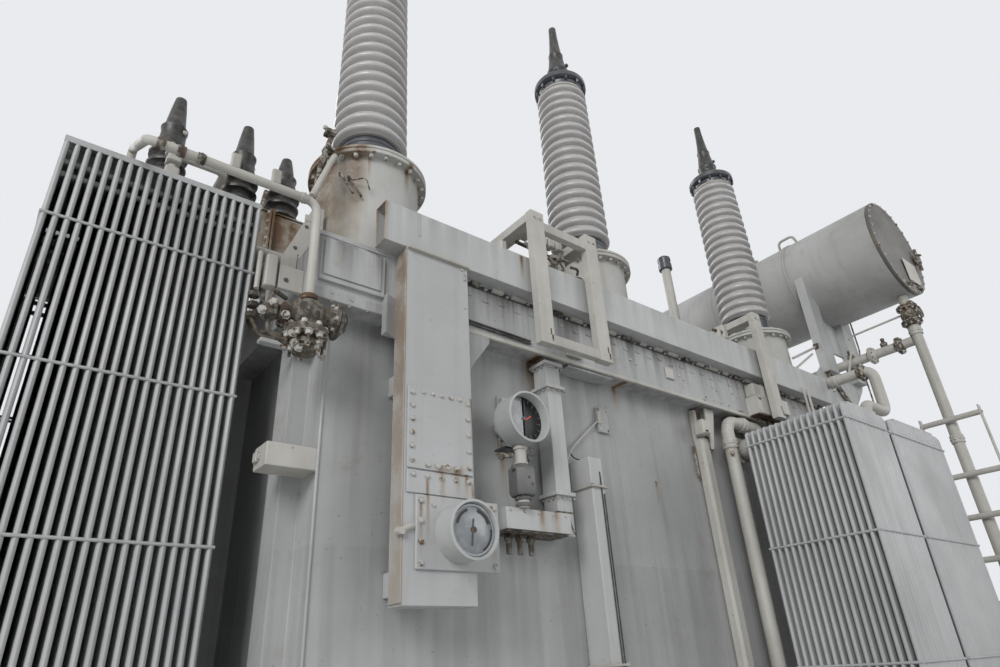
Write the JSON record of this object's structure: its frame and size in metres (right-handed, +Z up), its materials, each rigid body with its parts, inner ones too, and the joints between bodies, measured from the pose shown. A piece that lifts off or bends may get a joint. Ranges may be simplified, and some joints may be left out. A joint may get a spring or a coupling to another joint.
{
  "type": "power transformer",
  "caption": "Three-phase oil-filled power transformer with porcelain bushings on turrets, pressed-fin radiators, a conservator drum, control ducts and gauges.",
  "frame": {"origin": "on the ground under the middle of the tank, on the underside of the middle skid", "axes": "+Z up, +X along the row of high-voltage bushings towards the conservator, -Y out of the front with the cable trough and gauges"},
  "size_m": [7.183, 4.316, 7.1606],
  "materials": {
    "tank_enamel": "weathered grey enamel with rust runs",
    "radiator_enamel": "grey enamel on pressed steel",
    "pipe_enamel": "pale chalked enamel",
    "porcelain": "grey glazed porcelain",
    "rubber_boot": "dark dusty rubber",
    "cast_housing": "dark grey painted casting"
  },
  "bodies": {
    "root": {"skid_front": "tank_enamel", "skid_middle": "tank_enamel", "skid_rear": "tank_enamel", "tank": "tank_enamel", "cover": "tank_enamel", "end_brace": "tank_enamel", "end_radiator_front": "radiator_enamel", "end_radiator_rear": "radiator_enamel", "front_radiator_left": "radiator_enamel", "front_radiator_right": "radiator_enamel", "rear_radiator_left": "radiator_enamel", "rear_radiator_right": "radiator_enamel", "turret_left": "tank_enamel", "turret_middle": "tank_enamel", "turret_right": "tank_enamel", "bushing_left": "porcelain", "bushing_middle": "porcelain", "bushing_right": "porcelain", "terminal_left": "rubber_boot", "terminal_middle": "rubber_boot", "terminal_right": "rubber_boot", "lv_throat": "tank_enamel", "lv_bushing_left": "rubber_boot", "lv_bushing_middle": "rubber_boot", "lv_bushing_right": "rubber_boot", "cable_trough": "tank_enamel", "control_duct": "tank_enamel", "duct_cover_upper": "tank_enamel", "duct_cover_lower": "tank_enamel", "level_gauge": "tank_enamel", "dial_bracket": "tank_enamel", "dial_gauge": "pipe_enamel", "junction_box": "cast_housing", "thermometer_plate": "tank_enamel", "wireway": "tank_enamel", "cable_riser": "tank_enamel", "wall_post": "tank_enamel", "wall_oil_pipe": "pipe_enamel", "trough_bracket_left": "pipe_enamel", "trough_bracket_middle": "pipe_enamel", "trough_bracket_right": "pipe_enamel", "terminal_box": "pipe_enamel", "conservator_shell": "tank_enamel", "conservator_front_end": "tank_enamel", "conservator_rear_end": "tank_enamel", "conservator_support_front": "tank_enamel", "conservator_support_rear": "tank_enamel", "conservator_pipe": "pipe_enamel", "drain_pipe": "pipe_enamel", "top_header_pipe": "pipe_enamel", "front_header_pipe": "pipe_enamel", "vent_pipe": "pipe_enamel", "relief_pipe": "pipe_enamel", "side_ladder": "pipe_enamel"}
  },
  "joints": []
}
